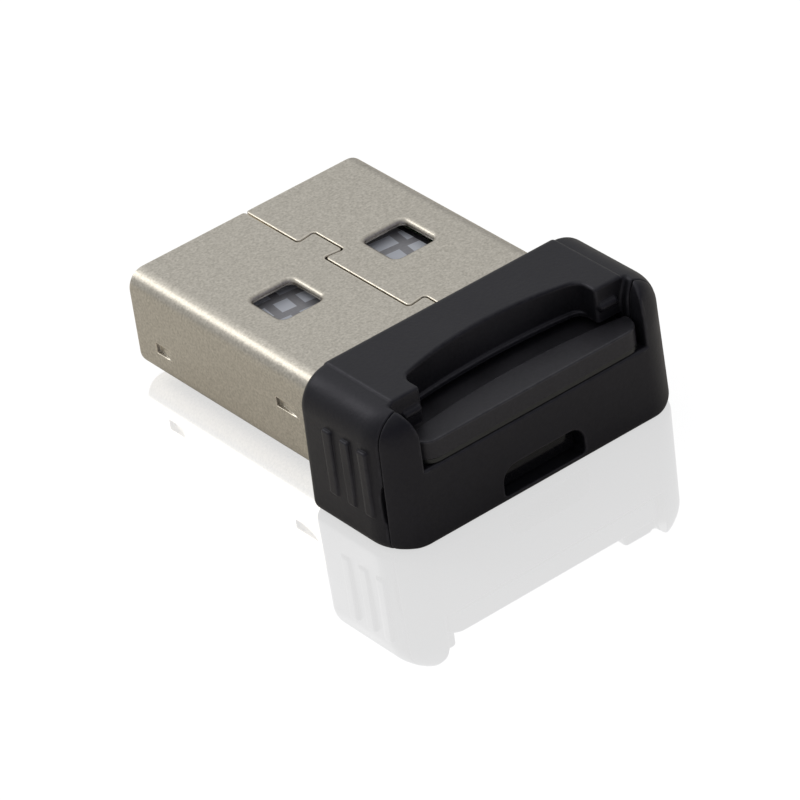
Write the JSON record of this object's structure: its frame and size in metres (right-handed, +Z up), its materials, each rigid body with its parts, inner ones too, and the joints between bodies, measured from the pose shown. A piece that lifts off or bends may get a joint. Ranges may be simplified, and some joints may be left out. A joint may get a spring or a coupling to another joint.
{
  "type": "usb memory card reader",
  "caption": "Miniature USB-A plug-in memory card reader: folded steel plug, short black housing with a finger recess, and a removable memory card.",
  "frame": {"origin": "centre of the overall box in X and Y, on the underside of the housing", "axes": "+X right seen from the card end, +Y towards the plug tip, +Z up, the side of the plug with the folded seam and the card's printed face"},
  "size_m": [0.0146, 0.0184, 0.0061],
  "materials": {
    "housing": "fine moulded texture",
    "shell": "satin nickel plate",
    "carrier": "moulded",
    "board": "solder mask over glass laminate",
    "gold": "gold plate",
    "chip": "moulded epoxy",
    "crystal": "plated lid",
    "capacitor": "fired ceramic with tinned ends",
    "resistor": "glazed top with tinned ends",
    "led": "clear epoxy on white base",
    "lens": "smoked clear plastic",
    "spring_block": "natural nylon",
    "solder": "bright tin",
    "card": "moulded epoxy",
    "card_laminate": "solder mask",
    "silicon": "polished silicon",
    "label": "printed film"
  },
  "bodies": {
    "reader": {"rear_housing": "housing", "front_cap": "housing", "plug_shell": "shell", "board_carrier": "carrier", "main_board": "board", "power_contacts": "gold", "data_contacts": "gold", "controller_chip": "chip", "voltage_regulator": "chip", "crystal_can": "crystal", "capacitors": "capacitor", "resistors": "resistor", "status_led": "led", "light_lens": "lens", "spring_block": "spring_block", "card_springs": "gold", "solder_joints": "solder"},
    "card": {"card_body": "card", "card_substrate": "card_laminate", "memory_die": "silicon", "card_controller_die": "silicon", "card_contacts": "gold", "card_label": "label"}
  },
  "joints": [
    {"name": "card_slide", "type": "slide", "parent": "reader", "child": "card", "axis": [0, -1, 0], "range_m": [0, 0.0155]}
  ]
}
